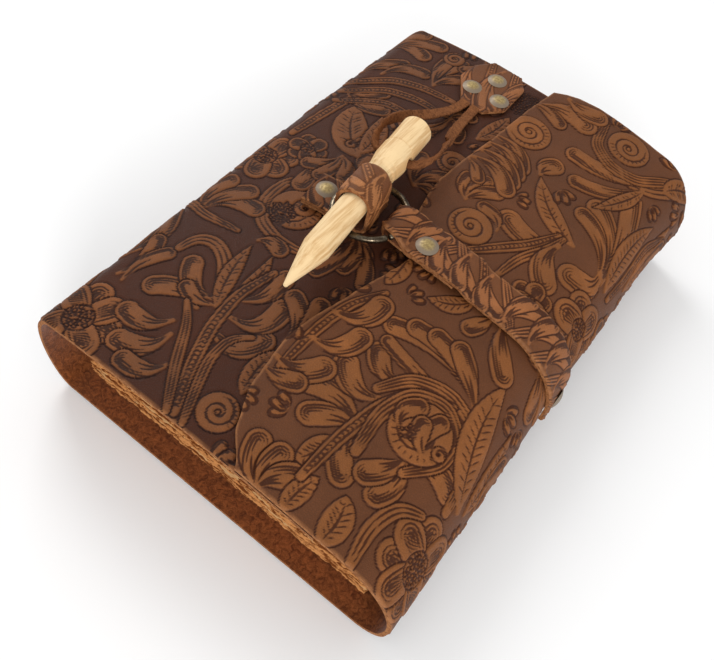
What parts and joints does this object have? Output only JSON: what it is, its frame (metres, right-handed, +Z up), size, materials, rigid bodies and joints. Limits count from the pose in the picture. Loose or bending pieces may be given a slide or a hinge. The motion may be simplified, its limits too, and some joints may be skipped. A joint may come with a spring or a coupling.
{
  "type": "leather notebook cover",
  "caption": "Embossed leather wrap cover on sewn page sections, with a wave-edged flap closed by a strap ring, a leather loop and a wooden peg on a thong.",
  "frame": {"origin": "middle of the closed book's underside, halfway between the spine and the fore-edge fold and halfway along the spine", "axes": "+X to the fore-edge fold, -X to the spine, +Y along the spine to the end behind the peg's head, +Z up out of the front cover"},
  "size_m": [0.1443, 0.212, 0.062],
  "materials": {
    "cover_leather": "waxed, floral embossing, dark ground and tan high parts",
    "flap_leather": "waxed, floral embossing, tan",
    "closure_leather": "waxed, light wear",
    "paper": "handmade, aged, deckle edge",
    "thread": "waxed linen",
    "antique_bronze": "dark antique",
    "antique_brass": "mottled antique",
    "raw_wood": "turned, raw, pale"
  },
  "bodies": {
    "back": {"back_cover": "cover_leather", "spine": "cover_leather", "section_1": "paper", "section_2": "paper", "section_3": "paper", "section_4": "paper", "section_5": "paper", "section_6": "paper", "section_7": "paper", "section_8": "paper", "section_9": "paper", "sewing_thread": "thread"},
    "front": {"front_cover": "cover_leather", "closure_loop": "closure_leather", "loop_rivet_cap": "antique_brass", "loop_rivet_base": "antique_brass", "tether_patch": "closure_leather", "patch_rivet_caps": "antique_brass", "patch_rivet_bases": "antique_brass"},
    "fold": {"fore_edge_fold": "flap_leather", "strap_fold_run": "closure_leather", "anchor_rivet_cap": "antique_brass", "anchor_rivet_base": "antique_brass"},
    "flap": {"flap": "flap_leather", "closure_strap": "closure_leather", "tab_rivet_cap": "antique_brass", "tab_rivet_base": "antique_brass"},
    "ring": {"ring": "antique_bronze"},
    "tether": {"tether_thong": "closure_leather"},
    "peg": {"peg": "raw_wood"}
  },
  "joints": [
    {"name": "flap_open", "type": "hinge", "parent": "fold", "child": "flap", "pos_m": [0.043, 0, 0.0446], "axis": [0, 1, 0], "range_deg": [0, 90], "deforming": ["closure_loop", "tether_thong"]},
    {"name": "fold_open", "type": "hinge", "parent": "back", "child": "fold", "pos_m": [0.07, 0, 0.0102], "axis": [0, 1, 0], "range_deg": [0, 63]},
    {"name": "ring_swing", "type": "hinge", "parent": "flap", "child": "ring", "pos_m": [-0.0017, -0.0058, 0.0498], "axis": [0, 1, 0], "range_deg": [0, 36]},
    {"name": "front_open", "type": "hinge", "parent": "back", "child": "front", "pos_m": [-0.0608, 0, 0.0404], "axis": [0, -1, 0], "range_deg": [0, 18]},
    {"name": "tether_swing", "type": "hinge", "parent": "front", "child": "tether", "pos_m": [-0.02, 0.0705, 0.0551], "axis": [-1, 0, 0], "range_deg": [0, 180], "deforming": ["tether_thong"]},
    {"name": "peg_draw", "type": "slide", "parent": "tether", "child": "peg", "axis": [-0.1115, 0.9938, 0], "range_m": [0, 0.056], "deforming": ["closure_loop", "tether_thong"]}
  ],
  "couplings": [
    {"joint": "fold_open", "follows": "flap_open", "ratio": 0.7},
    {"joint": "ring_swing", "follows": "flap_open", "ratio": 0.4},
    {"joint": "front_open", "follows": "flap_open", "ratio": 0.2},
    {"joint": "tether_swing", "follows": "flap_open", "ratio": 2}
  ]
}
